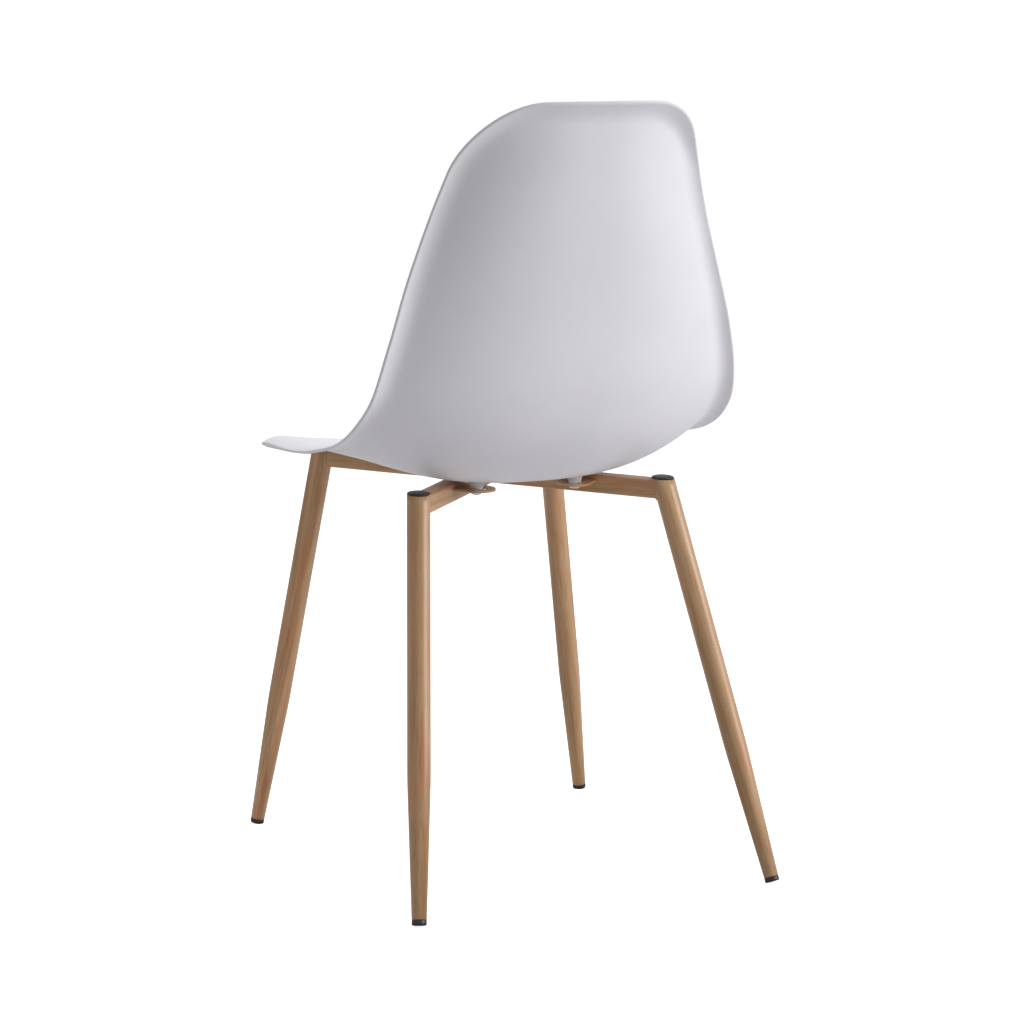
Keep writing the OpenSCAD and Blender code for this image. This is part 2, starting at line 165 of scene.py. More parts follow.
def linear(red, green, blue):
    """A colour as a display shows it, 0 to 255, as the shader's own linear values."""
    def one(value):
        c = value / 255
        return c / 12.92 if c <= 0.04045 else ((c + 0.055) / 1.055) ** 2.4
    return (one(red), one(green), one(blue), 1)


class Surface:
    """A Principled material under construction, with the usual nodes as methods."""

    def __init__(self, name, roughness, **sockets):
        self.material = bpy.data.materials.new(name)
        self.material.use_nodes = True
        self.nodes = self.material.node_tree.nodes
        self.links = self.material.node_tree.links
        self.shader = self.nodes["Principled BSDF"]
        self.shader.inputs["Roughness"].default_value = roughness
        for socket, value in sockets.items():
            self.shader.inputs[socket.replace("_", " ")].default_value = value

    def add(self, kind, **inputs):
        node = self.nodes.new("ShaderNode" + kind)
        for socket, value in inputs.items():
            target = node.inputs[socket.replace("_", " ")]
            if isinstance(value, bpy.types.NodeSocket):
                self.links.new(value, target)
            else:
                target.default_value = value
        return node

    def place(self, location=(0, 0, 0), rotation=(0, 0, 0), stretch=(1, 1, 1)):
        """Coordinates in metres in a piece's own frame, then multiplied by stretch."""
        here = self.add("TexCoord").outputs["Object"]
        turned = self.add("Mapping", Vector=here, Location=location, Rotation=rotation)
        turned.vector_type = "TEXTURE"
        sized = self.add("Mapping", Vector=turned.outputs[0], Scale=stretch)
        return sized.outputs[0]

    def noise(self, vector, scale, detail=2.0, rough=0.5, distortion=0.0):
        node = self.add("TexNoise", Vector=vector, Scale=scale, Detail=detail,
                        Roughness=rough, Distortion=distortion)
        return node.outputs["Fac"]

    def ramp(self, fac, *stops):
        """A colour ramp through (position, colour) stops."""
        node = self.add("ValToRGB", Fac=fac)
        points = node.color_ramp.elements
        while len(points) < len(stops):
            points.new(0.5)
        for point, (position, colour) in zip(points, stops):
            point.position = position
            point.color = colour
        return node.outputs["Color"]

    def mix(self, kind, fac, a, b):
        node = self.nodes.new("ShaderNodeMix")
        node.data_type = "RGBA"
        node.blend_type = kind
        for socket, value in ((node.inputs[0], fac), (node.inputs[6], a), (node.inputs[7], b)):
            if isinstance(value, bpy.types.NodeSocket):
                self.links.new(value, socket)
            else:
                socket.default_value = value
        return node.outputs[2]

    def scaled(self, fac, low, high):
        node = self.add("MapRange", Value=fac, To_Min=low, To_Max=high)
        return node.outputs[0]

    def bump(self, height, distance, strength, below=None):
        node = self.add("Bump", Height=height, Distance=distance, Strength=strength)
        if below is not None:
            self.links.new(below, node.inputs["Normal"])
        return node.outputs["Normal"]

    def finish(self, colour=None, roughness=None, normal=None):
        for socket, value in (("Base Color", colour), ("Roughness", roughness),
                              ("Normal", normal)):
            if value is not None:
                self.links.new(value, self.shader.inputs[socket])
        return self.material


def grey(value):
    return (value, value, value, 1)


def shell_plastic():
    """White polypropylene: satin, cool, with a very fine spark-eroded mould texture."""
    s = Surface("white_polypropylene", 0.42, Specular_IOR_Level=0.42,
                Subsurface_Weight=0.04, Subsurface_Scale=0.004)
    here = s.place()
    cloud = s.noise(here, 9.0, 3.0)
    fleck = s.noise(here, 420.0, 2.0)
    tone = s.ramp(cloud, (0.30, linear(231, 230, 236)), (0.70, linear(236, 235, 240)))
    colour = s.mix("MULTIPLY", 0.25, tone, s.ramp(fleck, (0.35, grey(0.95)), (0.65, grey(1))))
    scuff = s.noise(s.place(stretch=(1, 1, 0.35)), 34.0, 6.0, 0.62)
    rough = s.scaled(scuff, 0.37, 0.50)
    grain = s.noise(here, 1500.0, 2.0, 0.6)
    wave = s.noise(here, 24.0, 2.0)
    normal = s.bump(wave, 0.0006, 0.10)
    normal = s.bump(grain, 0.00006, 0.35, below=normal)
    return s.finish(colour, rough, normal)


def wood_film(name, location, rotation, shift):
    """Printed light oak on a satin film, with the grain along the piece's own z axis."""
    s = Surface(name, 0.4, Specular_IOR_Level=0.4, Coat_Weight=0.45, Coat_Roughness=0.30)
    turned = {"location": location, "rotation": rotation}

    def streaks(across, along, scale, detail, rough=0.55, distortion=0.0):
        here = s.place(**turned, stretch=(across, across, along))
        moved = s.add("Mapping", Vector=here, Location=shift).outputs[0]
        return s.noise(moved, scale, detail, rough, distortion)

    board = streaks(1, 0.06, 62.0, 3.0, distortion=0.5)
    warm = streaks(1, 0.09, 85.0, 2.0)
    olive = streaks(1, 0.05, 48.0, 2.0)
    fibre = streaks(1, 0.030, 300.0, 4.0, 0.6)
    pores = streaks(1, 0.022, 1100.0, 3.0, 0.6)
    base = s.ramp(board,
                  (0.28, linear(171, 127, 84)),
                  (0.45, linear(188, 146, 103)),
                  (0.60, linear(202, 162, 121)),
                  (0.75, linear(190, 148, 108)))
    red = s.ramp(warm, (0.50, grey(1)), (0.70, linear(255, 226, 206)))
    colour = s.mix("MULTIPLY", 0.9, base, red)
    green = s.ramp(olive, (0.55, grey(1)), (0.72, linear(232, 226, 198)))
    colour = s.mix("MULTIPLY", 0.8, colour, green)
    lines = s.ramp(fibre, (0.30, grey(0.84)), (0.50, grey(0.98)), (0.70, grey(1.05)))
    colour = s.mix("MULTIPLY", 0.65, colour, lines)
    dashes = s.ramp(pores, (0.34, linear(168, 134, 104)), (0.45, grey(1)))
    colour = s.mix("MULTIPLY", 0.42, colour, dashes)
    rough = s.scaled(fibre, 0.34, 0.48)
    normal = s.bump(fibre, 0.00008, 0.18)
    normal = s.bump(pores, 0.00005, 0.30, below=normal)
    return s.finish(colour, rough, normal)


def black_plastic():
    s = Surface("black_polyethylene", 0.36, Specular_IOR_Level=0.45)
    here = s.place()
    tone = s.ramp(s.noise(here, 160.0, 4.0), (0.35, linear(24, 24, 26)), (0.7, linear(36, 36, 39)))
    rough = s.scaled(s.noise(here, 300.0, 4.0, 0.6), 0.28, 0.46)
    normal = s.bump(s.noise(here, 1800.0, 2.0), 0.00005, 0.4)
    return s.finish(tone, rough, normal)


def zinc_plate():
    s = Surface("zinc_plate", 0.28, Metallic=1.0)
    here = s.place()
    tone = s.ramp(s.noise(here, 240.0, 4.0, 0.6),
                  (0.35, linear(196, 198, 202)), (0.65, linear(228, 229, 230)))
    rough = s.scaled(s.noise(here, 700.0, 5.0, 0.65), 0.20, 0.42)
    normal = s.bump(s.noise(here, 1400.0, 3.0), 0.00005, 0.3)
    return s.finish(tone, rough, normal)


def turned_brass():
    s = Surface("turned_brass", 0.32, Metallic=1.0)
    here = s.place()
    tone = s.ramp(s.noise(here, 200.0, 3.0),
                  (0.35, linear(196, 158, 84)), (0.65, linear(222, 188, 116)))
    rough = s.scaled(s.noise(here, 900.0, 3.0), 0.24, 0.42)
    return s.finish(tone, rough)


SHELL = shell_plastic()
BLACK = black_plastic()
ZINC = zinc_plate()
BRASS = turned_brass()


# ---------- Mesh helpers ----------

def new_piece(name, points, faces, material, slot, *nodes):
    """A smooth-shaded piece on the chair's one body, in the place of these CAD nodes."""
    mesh = bpy.data.meshes.new(name)
    mesh.from_pydata([tuple(p) for p in points], [], [list(f) for f in faces])
    mesh.validate()
    mesh.polygons.foreach_set("use_smooth", [True] * len(mesh.polygons))
    mesh.materials.append(material)
    piece = bpy.data.objects.new(name, mesh)
    bpy.context.scene.collection.objects.link(piece)
    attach(piece, BODY)
    if nodes:
        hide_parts(*nodes)
    return piece


def node_points(node):
    """A CAD node's own vertices as an array, without repeats."""
    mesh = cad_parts[node].data
    points = np.empty(len(mesh.vertices) * 3)
    mesh.vertices.foreach_get("co", points)
    return np.unique(points.reshape(-1, 3).round(6), axis=0)


def axis_frame(origin, direction):
    """A frame with z along direction, as a 4x4 matrix."""
    turn = Vector(direction).normalized().to_track_quat("Z", "Y").to_matrix().to_4x4()
    return Matrix.Translation(Vector(origin)) @ turn


def to_world(matrix, points):
    turn = np.array(matrix)[:3, :3]
    return np.asarray(points, float) @ turn.T + np.array(matrix.translation)


def lathe(outline, segments=96):
    """Points and faces of a closed outline of (radius, height) turned about z."""
    points, rings = [], []
    for radius, height in outline:
        if radius < 1e-9:
            rings.append([len(points)] * segments)
            points.append((0.0, 0.0, height))
            continue
        rings.append(list(range(len(points), len(points) + segments)))
        for k in range(segments):
            turn = 2 * math.pi * k / segments
            points.append((radius * math.cos(turn), radius * math.sin(turn), height))
    faces = []
    closed = outline[0][0] > 1e-9
    pairs = zip(rings, rings[1:] + (rings[:1] if closed else []))
    for low, high in pairs:
        for k in range(segments):
            n = (k + 1) % segments
            face = [low[k], low[n], high[n], high[k]]
            face = [v for i, v in enumerate(face) if v not in face[:i]]
            if len(face) > 2:
                faces.append(face)
    return points, faces


def rounded(outline, radius, steps=4):
    """The outline with each corner turned into an arc, as wide as its sides allow."""
    result = []
    count = len(outline)
    for i, corner in enumerate(outline):
        here = Vector(corner)
        before, after = Vector(outline[i - 1]), Vector(outline[(i + 1) % count])
        to_before, to_after = before - here, after - here
        reach = min(radius, to_before.length * 0.45, to_after.length * 0.45)
        if corner[0] < 1e-9 or reach < 1e-7:
            result.append(tuple(here))
            continue
        start = here + to_before.normalized() * reach
        end = here + to_after.normalized() * reach
        for k in range(steps + 1):
            t = k / steps
            point = start * (1 - t) ** 2 + here * 2 * t * (1 - t) + end * t * t
            result.append(tuple(point))
    return result


def join(*meshes):
    """Several (points, faces) as one."""
    points, faces = [], []
    for part_points, part_faces in meshes:
        start = len(points)
        points += [tuple(p) for p in part_points]
        faces += [[v + start for v in face] for face in part_faces]
    return points, faces


def tidy(piece):
    """Merges repeated points and turns every face outward."""
    mesh = bmesh.new()
    mesh.from_mesh(piece.data)
    bmesh.ops.remove_doubles(mesh, verts=mesh.verts, dist=1e-6)
    bmesh.ops.dissolve_degenerate(mesh, edges=mesh.edges, dist=1e-7)
    bmesh.ops.recalc_face_normals(mesh, faces=mesh.faces)
    mesh.to_mesh(piece.data)
    mesh.free()


def bevel_shading(piece, degrees=35):
    """Keeps edges sharper than this crisp on a smooth-shaded piece."""
    mesh = piece.data
    mesh.polygons.foreach_set("use_smooth", [True] * len(mesh.polygons))
    mesh.set_sharp_from_angle(angle=math.radians(degrees))


# ---------- The underframe's own measurements ----------

LEG_WALL = 1.2 * MM
TAPER_L = 142 * MM
CAP_FLANGE_T = 1.2 * MM
CAP_STEM_WALL = 1.6 * MM


def circle_centre(points, normal):
    """Centre of a ring of points that lie on a plane with this normal."""
    side = np.cross(normal, [0.0, 1.0, 0.0])
    side /= np.linalg.norm(side)
    across = np.cross(normal, side)
    p, q = points @ side, points @ across
    fit = np.linalg.lstsq(np.c_[2 * p, 2 * q, np.ones(len(p))], p * p + q * q, rcond=None)[0]
    return side * fit[0] + across * fit[1] + normal * np.mean(points @ normal)


def tube_axis(node):
    """Centre of a leg's lower end and the direction of its axis, from its end ring and
    the ring where its taper stops."""
    points = node_points(node)
    direction = np.linalg.svd(points - points.mean(0))[2][0]
    direction *= np.sign(direction[2])
    for _ in range(4):
        height = points @ direction
        rings = [
            circle_centre(points[np.abs(height - height.min() - up) < 0.8 * MM], direction)
            for up in (0, TAPER_L)
        ]
        direction = (rings[1] - rings[0]) / np.linalg.norm(rings[1] - rings[0])
    return rings[0], direction


def ring_parts(node):
    """Centre, normal and half thickness of each of the four flat rings in a node."""
    points = node_points(node)
    found = {}
    for corner in CORNERS:
        x_side = 1 if corner.endswith("left") else -1
        y_side = 1 if corner.startswith("rear") else -1
        middle_y = (points[:, 1].min() + points[:, 1].max()) / 2
        own = points[(points[:, 0] * x_side > 0) & ((points[:, 1] - middle_y) * y_side > 0)]
        middle = own.mean(0)
        normal = np.linalg.svd(own - middle)[2][2]
        normal *= np.sign(normal[2])
        height = (own - middle) @ normal
        found[corner] = (middle, normal, (height.max() - height.min()) / 2)
    return found


WASHERS = ring_parts("flat_washers")
UP = np.mean([normal for _, normal, _ in WASHERS.values()], axis=0)
UP /= np.linalg.norm(UP)
TOP_PLANE = max(float((node_points("leg_" + corner) @ UP).max()) for corner in CORNERS)


def leg_line(corner):
    """Lower and upper ends of a leg's axis, the upper one on the plane of the leg tops."""
    low, direction = tube_axis("leg_" + corner)
    rise = (TOP_PLANE - low @ UP) / (direction @ UP)
    return low, low + direction * rise


LEGS = {corner: leg_line(corner) for corner in CORNERS}


def fixing_frame(corner):
    """z along the fixing's axis, with its zero on the plane of the leg tops."""
    centre = WASHERS[corner][0]
    centre = centre + UP * (TOP_PLANE - centre @ UP)
    return axis_frame(centre, UP)


# ---------- Shell ----------

SHELL_W = 442 * MM
BACK_H = 405 * MM
SHELL_T = 4 * MM
FRONT_CORNER_R = 75 * MM
TOP_CORNER_R = 74 * MM
RIM_FLARE = 18 * MM
RIM_FLARE_W = 28 * MM
SECTION_POWER = 2.6
RIM_ROUND = 1.9 * MM


def stations():
    """Middle [y, height], half width, rim [y, height] and share of the rim's roll, from the
    front edge to the top."""
    b = BACK_H / MM
    table = np.array([
        [-247, 0, 0.930, -232, 11, 0.50],
        [-219, 8, 0.965, -212, 24, 0.65],
        [-165, 15, 0.985, -160, 31, 0.60],
        [-85, 10, 0.995, -92, 34, 0.70],
        [0, 3, 1.000, -26, 43.5, 0.90],
        [75, 0, 0.995, 40, 59, 1.00],
        [136, 0.105 * b, 0.984, 82, 0.190 * b, 1.00],
        [168, 0.245 * b, 0.950, 113, 0.262 * b, 1.00],
        [182, 0.405 * b, 0.888, 128, 0.403 * b, 1.00],
        [192, 0.565 * b, 0.808, 133, 0.556 * b, 1.00],
        [203, 0.726 * b, 0.712, 142, 0.718 * b, 1.00],
        [214, 0.874 * b, 0.630, 160, 0.868 * b, 1.00],
        [228, 1.006 * b, 0.608, 190, 1.002 * b, 0.90],
    ])
    table[:, [0, 1, 3, 4]] *= MM
    table[:, 2] *= SHELL_W / 2
    return table


STATIONS = stations()
T_MAX = len(STATIONS) - 1


def spline(t):
    """Smooth curve through the stations, for an array of t in stations."""
    t = np.clip(t, 0, T_MAX)
    i = np.minimum(t.astype(int), T_MAX - 1)
    f = (t - i)[:, None]
    b, c = STATIONS[i], STATIONS[i + 1]
    a = np.where(i[:, None] == 0, 2 * b - c, STATIONS[np.maximum(i - 1, 0)])
    d = np.where(i[:, None] == T_MAX - 1, 2 * c - b, STATIONS[np.minimum(i + 2, T_MAX)])
    return (2 * b + (c - a) * f + (2 * a - 5 * b + 4 * c - d) * f ** 2
            + (3 * b - a - 3 * c + d) * f ** 3) / 2


T_STEPS = np.linspace(0, T_MAX, 1201)
MIDDLE = spline(T_STEPS)[:, :2]
LENGTHS = np.concatenate([[0], np.cumsum(np.linalg.norm(np.diff(MIDDLE, axis=0), axis=1))])
SHELL_L = LENGTHS[-1]


def rim_distance(radius, side, end):
    corner = radius - np.hypot(radius - side, radius - end)
    return np.where((side < radius) & (end < radius), corner, np.minimum(side, end))


def upper_face(s, x):
    """Points of the shell's upper face, s along its middle and x across, before it is
    raised to its height."""
    t = np.interp(s, LENGTHS, T_STEPS)
    q = spline(t)
    w = q[:, 2]
    lift = (np.abs(x) / w) ** SECTION_POWER
    side = w - np.abs(x)
    edge = np.minimum(rim_distance(FRONT_CORNER_R, side, s),
                      rim_distance(TOP_CORNER_R, side, SHELL_L - s))
    roll = q[:, 5] * RIM_FLARE * np.maximum(1 - edge / RIM_FLARE_W, 0) ** 2
    step = 0.02
    run = spline(np.minimum(t + step, T_MAX))[:, :2] - spline(np.maximum(t - step, 0))[:, :2]
    run /= np.linalg.norm(run, axis=1)[:, None]
    y = q[:, 0] + (q[:, 3] - q[:, 0]) * lift + roll * run[:, 1]
    z = q[:, 1] + (q[:, 4] - q[:, 1]) * lift - roll * run[:, 0]
    return np.stack([x, y, z], axis=1), np.maximum(edge, 0)


def upper_normal(s, x):
    """Unit normals of the upper face, from small steps along and across it."""
    h = 0.4 * MM
    along = (upper_face(np.minimum(s + h, SHELL_L), x)[0]
             - upper_face(np.maximum(s - h, 0), x)[0])
    across = upper_face(s, x + h)[0] - upper_face(s, x - h)[0]
    normal = np.cross(across, along)
    return normal / np.linalg.norm(normal, axis=1)[:, None]


def offset_side(radius, inward, end):
    """Distance in from the side of a rim offset by inward, at this distance from the end."""
    turn = np.sqrt(np.maximum((radius - inward) ** 2 - (radius - end) ** 2, 0))
    return np.where(end < radius, radius - turn, inward)


# Fine steps in from the rim, first round its edge and then across the rolled stretch
EDGE_STEPS = np.array([0, .06, .2, .4, .7, 1.05, 1.45, 1.9, 2.6, 4.0, 6.0, 8.5, 11.5]) * MM


def shell_rows():
    def corner(radius):
        start = math.acos(1 - EDGE_STEPS[-1] / radius)
        turns = np.linspace(start, math.pi / 2, 26)[1:]
        return np.concatenate([EDGE_STEPS, radius * (1 - np.cos(turns))])
    front = corner(FRONT_CORNER_R)
    top = SHELL_L - corner(TOP_CORNER_R)[::-1]
    return np.concatenate([front, np.linspace(front[-1], top[0], 122)[1:-1], top])


def row_across(s):
    """Places across one row: in from both rims along its offsets, then even steps."""
    w = float(spline(np.interp([s], LENGTHS, T_STEPS))[0, 2])
    reach = min(s, SHELL_L - s)
    inward = EDGE_STEPS * min(1.0, reach / EDGE_STEPS[-1])
    side = np.maximum(offset_side(FRONT_CORNER_R, inward, s),
                      offset_side(TOP_CORNER_R, inward, SHELL_L - s))
    left = w - side
    inner = left[-1] * np.sin(np.linspace(1, -1, 73) * 1.15)[1:-1] / math.sin(1.15)
    return np.concatenate([left, inner, -left[::-1]])


def shell_mesh():
    """The whole wall as one closed mesh with a rounded rim, at its height in the chair."""
    rows = shell_rows()
    across = np.array([row_across(s) for s in rows])
    count, width = across.shape
    s, x = np.repeat(rows, width), across.ravel()
    face, edge = upper_face(s, x)
    normal = upper_normal(s, x)
    middle = face - normal * SHELL_T / 2
    near = np.clip(1 - edge / RIM_ROUND, 0, 1)
    half = SHELL_T / 2 * np.sqrt(1 - near ** 2)
    points = np.concatenate([middle + normal * half[:, None], middle - normal * half[:, None]])
    index = np.arange(count * width).reshape(count, width)
    a, b, c, d = index[:-1, :-1], index[1:, :-1], index[1:, 1:], index[:-1, 1:]
    upper = np.stack([a, b, c, d], axis=-1).reshape(-1, 4)
    lower = upper[:, ::-1] + count * width
    return points, np.concatenate([upper, lower]).tolist()


def shell_rise():
    """How far the surface is raised, so that its top meets the top of the CAD shell."""
    x = np.linspace(-1, 1, 201) * SHELL_W / 4
    s = np.full_like(x, SHELL_L)
    upper = upper_face(s, x)[0]
    lower = upper - upper_normal(s, x) * SHELL_T
    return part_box("seat_shell")[1][2] - max(upper[:, 2].max(), lower[:, 2].max())


RISE = shell_rise()
shell_points, shell_faces = shell_mesh()
shell_points[:, 2] += RISE
shell_points[:, 0] *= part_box("seat_shell")[1][0] / shell_points[:, 0].max()


def lower_face_height(x, y):
    """Height of the shell's lower face over one place on the seat."""
    s = np.linspace(0.1, 0.6, 240) * SHELL_L
    xs = np.full_like(s, x)
    points = upper_face(s, xs)[0] - upper_normal(s, xs) * SHELL_T
    return float(np.interp(y, points[:, 1], points[:, 2])) + RISE


INSERT_R, INSERT_L = 4 * MM, 10 * MM
BOSS_R, BOSS_ROOT_R = 6.5 * MM, 8.25 * MM


def boss_mesh(corner):
    """A tapered boss with an open bore, blended into the lower face by a fillet."""
    place = fixing_frame(corner)
    centre, _, half = WASHERS[corner]
    # The tip stands on the top of the washer, inside the tab's slot.
    base = centre @ UP + half - TOP_PLANE
    segments, fillet = 72, 2.6 * MM
    turns = np.arange(segments) * 2 * math.pi / segments
    rings = [(INSERT_R, base + INSERT_L), (INSERT_R, base), (BOSS_R - 0.4 * MM, base),
             (BOSS_R - 0.1 * MM, base + 0.1 * MM), (BOSS_R, base + 0.4 * MM)]
    points = [(0.0, 0.0, base + INSERT_L)]
    for radius, height in rings:
        points += [(radius * math.cos(a), radius * math.sin(a), height) for a in turns]
    steps = [(0.0, -fillet)] + [
        (fillet * (1 - math.cos(a)), fillet * (math.sin(a) - 1))
        for a in np.linspace(0, math.pi / 2, 9)
    ]
    for out, down in steps + [(fillet, 0.8 * MM)]:
        for a in turns:
            radius = BOSS_ROOT_R + out
            x, y = radius * math.cos(a), radius * math.sin(a)
            foot = place @ Vector((x, y, 0))
            top = lower_face_height(foot.x, foot.y) - foot.z + down + 0.15 * MM
            points.append((x, y, top))
    count = len(rings) + len(steps) + 1
    faces = [[0, 1 + (k + 1) % segments, 1 + k] for k in range(segments)]
    for r in range(count - 1):
        low, high = 1 + r * segments, 1 + (r + 1) * segments
        for k in range(segments):
            n = (k + 1) % segments
            faces.append([low + k, low + n, high + n, high + k])
    last = 1 + (count - 1) * segments
    faces.append([last + k for k in range(segments)])
    return to_world(place, points), faces


def add_shell():
    bosses = [boss_mesh(corner) for corner in CORNERS]
    points, faces = join((shell_points, shell_faces), *bosses)
    piece = new_piece("seat_shell_moulding", points, faces, SHELL, "white_shell", "seat_shell")
    tidy(piece)


add_shell()


# ---------- Legs, caps and feet ----------

def wood_for(name, place, number):
    """Wood film for one tube, with its own stretch of the printed grain."""
    shift = (0.37 * number, 0.23 * number, 0.61 * number)
    return wood_film("wood_film_" + name, tuple(place.translation),
                     tuple(place.to_euler()), shift)


def leg_radii(corner):
    """Outer radius of a leg at its lower end and above its taper."""
    points = node_points("leg_" + corner)
    low, high = LEGS[corner]
    axis = (high - low) / np.linalg.norm(high - low)
    radii = []
    for end in (low, low + axis * TAPER_L):
        near = points[np.abs((points - end) @ axis) < 0.8 * MM] - end
        radii.append(float(np.linalg.norm(near - np.outer(near @ axis, axis), axis=1).max()))
    return radii


def add_leg(corner, number):
    low, high = LEGS[corner]
    length = float(np.linalg.norm(high - low))
    end_r, top_r = leg_radii(corner)
    blend_l = 14 * MM
    slope = (top_r - end_r) / TAPER_L
    outer = [(end_r, 0.4 * MM),
             (end_r + slope * (TAPER_L - blend_l), TAPER_L - blend_l)]
    for k in range(1, 8):
        t = k / 8
        here = TAPER_L + blend_l * (2 * t - 1)
        bend = slope * blend_l * (2 * t - t * t)
        outer.append((end_r + slope * (TAPER_L - blend_l) + bend, here))
    outer.append((top_r, TAPER_L + blend_l))
    outer += [(top_r, length - top_r), (top_r, length + top_r)]
    inner = [(top_r - LEG_WALL, length + top_r), (top_r - LEG_WALL, TAPER_L),
             (end_r - LEG_WALL, 0), (end_r - 0.4 * MM, 0)]
    points, faces = lathe(outer + inner, 112)
    place = axis_frame(low, high - low)
    points = to_world(place, cut_above(place, points, 0.0))
    piece = new_piece("leg_tube_" + corner, points, faces, wood_for(corner, place, number),
                      "wood_film_steel", "leg_" + corner)
    tidy(piece)


def cut_above(place, points, height):
    """Slides points back along z until none is over this height above the leg tops."""
    turn = np.array(place)[:3, :3]
    over = to_world(place, points) @ UP - TOP_PLANE - height
    slide = np.maximum(over, 0) / (turn[:, 2] @ UP)
    return np.asarray(points, float) - np.outer(slide, [0, 0, 1])


def add_cap(corner):
    """Push-in cap: a shallow dome with a soft edge, over a hollow stem in the leg."""
    low, high = LEGS[corner]
    points = node_points("leg_cap_" + corner)
    level = points @ UP - TOP_PLANE
    top = float(level.max())
    flat = points[level > -0.02 * MM] - high
    radius = float(np.linalg.norm(flat - np.outer(flat @ UP, UP), axis=1).max())
    soft = 0.3 * MM
    outline = [(0, 0), (radius - soft, 0), (radius, soft)]
    outline += [(radius * math.cos(a) ** 0.8, CAP_FLANGE_T + (top - CAP_FLANGE_T) * math.sin(a))
                for a in np.linspace(0, math.pi / 2, 21)[:-1]] + [(0, top)]
    disc_points, disc_faces = lathe(outline, 112)
    disc = to_world(axis_frame(high, UP), disc_points), disc_faces

    axis = (high - low) / np.linalg.norm(high - low)
    along = (points - high) @ axis
    lowest = float(along.min())
    end = (points - high)[along < lowest + 0.1 * MM]
    stem_r = float(np.linalg.norm(end - np.outer(end @ axis, axis), axis=1).max())
    bore_r = stem_r - CAP_STEM_WALL
    tube = [(bore_r, lowest), (stem_r - soft, lowest), (stem_r, lowest + 2 * soft),
            (stem_r, radius), (bore_r, radius)]
    tube_points, tube_faces = lathe(tube, 112)
    place = axis_frame(high, axis)
    stem = to_world(place, cut_above(place, tube_points, CAP_FLANGE_T / 2)), tube_faces
    points, faces = join(disc, stem)
    piece = new_piece("cap_" + corner, points, faces, BLACK, "black_plastic",
                      "leg_cap_" + corner)
    tidy(piece)


def add_foot(corner):
    """Push-in foot with a rounded edge, worn flat where it stands on the floor."""
    low, high = LEGS[corner]
    place = axis_frame(low, high - low)
    axis = (high - low) / np.linalg.norm(high - low)
    cad = node_points("foot_" + corner)
    height = (cad - low) @ axis
    out = np.linalg.norm(cad - low - np.outer(height, axis), axis=1)
    radius, bottom, top = float(out.max()), float(height.min()), float(height.max())
    stem_r = float(out[height > top - 0.1 * MM].max())
    round_r = 1.3 * MM
    outline = [(0, top), (0, bottom)]
    outline += [(radius * k / 6, bottom) for k in range(1, 6)]
    outline += [(radius - round_r + round_r * math.cos(a),
                 bottom + round_r + round_r * math.sin(a))
                for a in np.linspace(-math.pi / 2, 0, 9)]
    outline += [(radius, -0.25 * MM), (radius - 0.25 * MM, 0)]
    outline += [(stem_r - 0.4 * MM, 0), (stem_r, top)]
    points, faces = lathe(outline, 96)
    points = to_world(place, points)
    points[:, 2] = np.maximum(points[:, 2], 0)
    piece = new_piece("glide_" + corner, points, faces, BLACK, "black_plastic",
                      "foot_" + corner)
    tidy(piece)


for leg_number, leg_corner in enumerate(CORNERS, 1):
    add_leg(leg_corner, leg_number)
    add_cap(leg_corner)
    add_foot(leg_corner)


# ---------- Screws, washers and inserts ----------

def node_span(node, corner):
    """Lowest and highest of a fixing node's own solid, along UP from the leg tops, and its
    largest and smallest radius about the fixing's axis."""
    points = node_points(node)
    centre = WASHERS[corner][0]
    away = points - centre
    height = away @ UP
    out = np.linalg.norm(away - np.outer(height, UP), axis=1)
    near = out < 30 * MM
    level = (points @ UP - TOP_PLANE)[near]
    return float(level.min()), float(level.max()), float(out[near].max()), float(out[near].min())


def spring_ring(corner):
    """A closed spring washer: a flat ring with a slanted cut through it."""
    low, high, outer, inner = node_span("spring_washers", corner)
    soft = 0.12 * MM
    outline = rounded([(inner, low), (outer, low), (outer, high), (inner, high)], soft)
    segments, gap, slant = 72, math.radians(4), math.radians(12)
    points, faces = [], []
    size = len(outline)
    for k in range(segments + 1):
        for radius, height in outline:
            turn = gap / 2 + (2 * math.pi - gap) * k / segments
            turn += slant * (height - low) / (high - low)
            points.append((radius * math.cos(turn), radius * math.sin(turn), height))
    for k in range(segments):
        for i in range(size):
            j = (i + 1) % size
            faces.append([k * size + i, k * size + j, (k + 1) * size + j, (k + 1) * size + i])
    faces.append(list(range(size))[::-1])
    faces.append([segments * size + i for i in range(size)])
    return to_world(fixing_frame(corner), points), faces


